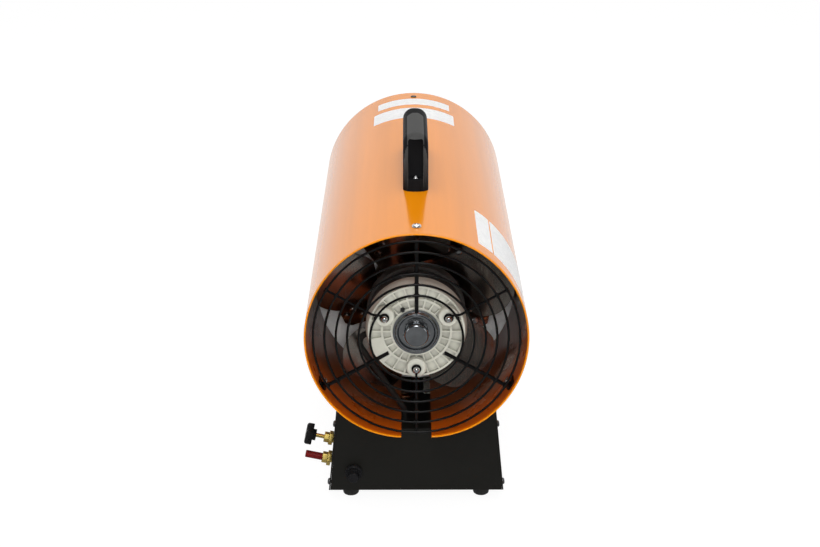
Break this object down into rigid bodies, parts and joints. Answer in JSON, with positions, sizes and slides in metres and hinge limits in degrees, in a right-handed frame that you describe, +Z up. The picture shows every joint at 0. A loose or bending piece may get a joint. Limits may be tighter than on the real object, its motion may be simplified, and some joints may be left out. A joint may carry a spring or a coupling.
{
  "type": "forced air heater",
  "caption": "Gas forced air heater: an orange painted steel tube with wire inlet guard, motor, axial fan and burner tube, on a black folded base with carrying handle, valve, igniter and switch.",
  "frame": {"origin": "centre of the footprint on the plane that the rubber feet stand on, halfway along the tube", "axes": "+Y along the tube from the air inlet to the hot air outlet, +X to the right as seen from the air inlet, away from the gas valve, +Z up"},
  "size_m": [0.1975, 0.462, 0.3],
  "materials": {
    "shell_paint": "gloss",
    "guard_wire": "gloss",
    "black_paint": "satin",
    "black_screw": "satin",
    "motor_cast": "cast",
    "steel": "satin",
    "zinc": "satin",
    "galvanised": "matt",
    "lamination": "matt",
    "copper_winding": "satin",
    "cap_steel": "satin",
    "fan_metal": "polished",
    "brass": "satin",
    "copper": "satin",
    "black_plastic": "matt",
    "black_rubber": "matt",
    "red_plastic": "satin",
    "white_ceramic": "gloss",
    "terminal_plastic": "satin"
  },
  "bodies": {
    "housing": {"outer_shell": "shell_paint", "rear_guard": "guard_wire", "guard_screws": "zinc", "guard_nuts": "zinc", "motor_rear_shield": "motor_cast", "motor_front_shield": "motor_cast", "stator_stack": "lamination", "stator_windings": "copper_winding", "bearing_cap": "cap_steel", "motor_bolts": "steel", "motor_nuts": "zinc", "rear_bearing": "steel", "front_bearing": "steel", "baffle_plate": "galvanised", "burner_tube": "galvanised", "burner_plate": "galvanised", "burner_cone": "steel", "burner_nozzle": "brass", "ignition_electrode": "white_ceramic", "thermocouple": "steel", "gas_pipe": "copper", "tube_brackets": "galvanised", "bracket_screws": "black_screw", "burner_tube_screws": "zinc", "overheat_thermostat": "steel", "handle": "black_plastic", "handle_screws": "zinc", "base_chassis": "black_paint", "left_side_panel": "black_paint", "right_side_panel": "black_paint", "panel_screws": "black_screw", "saddle_screws": "zinc", "rubber_feet": "black_rubber", "foot_screws": "zinc", "foot_nuts": "zinc", "gas_valve_body": "brass", "valve_panel_nut": "brass", "valve_gland_nut": "brass", "gas_inlet_fitting": "brass", "inlet_locknut": "brass", "piezo_body": "black_plastic", "piezo_collar": "black_plastic", "switch_housing": "black_plastic", "cable_gland": "black_plastic", "gland_locknut": "black_plastic", "terminal_block": "terminal_plastic", "motor_lead": "black_rubber"},
    "rotor": {"motor_shaft": "steel", "rotor_core": "lamination", "fan_hub": "fan_metal", "fan_blades": "fan_metal", "fan_rivets": "zinc", "fan_nut": "zinc"},
    "valve_handle": {"valve_spindle": "brass", "valve_knob": "black_plastic"},
    "igniter_button": {"piezo_button": "black_plastic"},
    "rocker": {"switch_rocker": "black_plastic"},
    "transport_cap": {"inlet_cap": "red_plastic"}
  },
  "joints": [
    {"name": "fan_spin", "type": "hinge", "parent": "housing", "child": "rotor", "pos_m": [0, -0.141, 0.16], "axis": [0, 1, 0], "continuous": true},
    {"name": "gas_valve_turn", "type": "hinge", "parent": "housing", "child": "valve_handle", "pos_m": [-0.07276, -0.186, 0.0468], "axis": [-0.9763, 0, 0.2164], "range_deg": [0, 270]},
    {"name": "igniter_press", "type": "slide", "parent": "housing", "child": "igniter_button", "axis": [0, 1, 0], "range_m": [0, 0.004], "stiffness_N_per_m": 800},
    {"name": "switch_tilt", "type": "hinge", "parent": "housing", "child": "rocker", "pos_m": [0.06965, -0.035, 0.0477], "axis": [0, 1, 0], "range_deg": [-16, 0]},
    {"name": "cap_pull", "type": "slide", "parent": "housing", "child": "transport_cap", "axis": [-0.9763, 0, 0.2164], "range_m": [0, 0.016]}
  ]
}
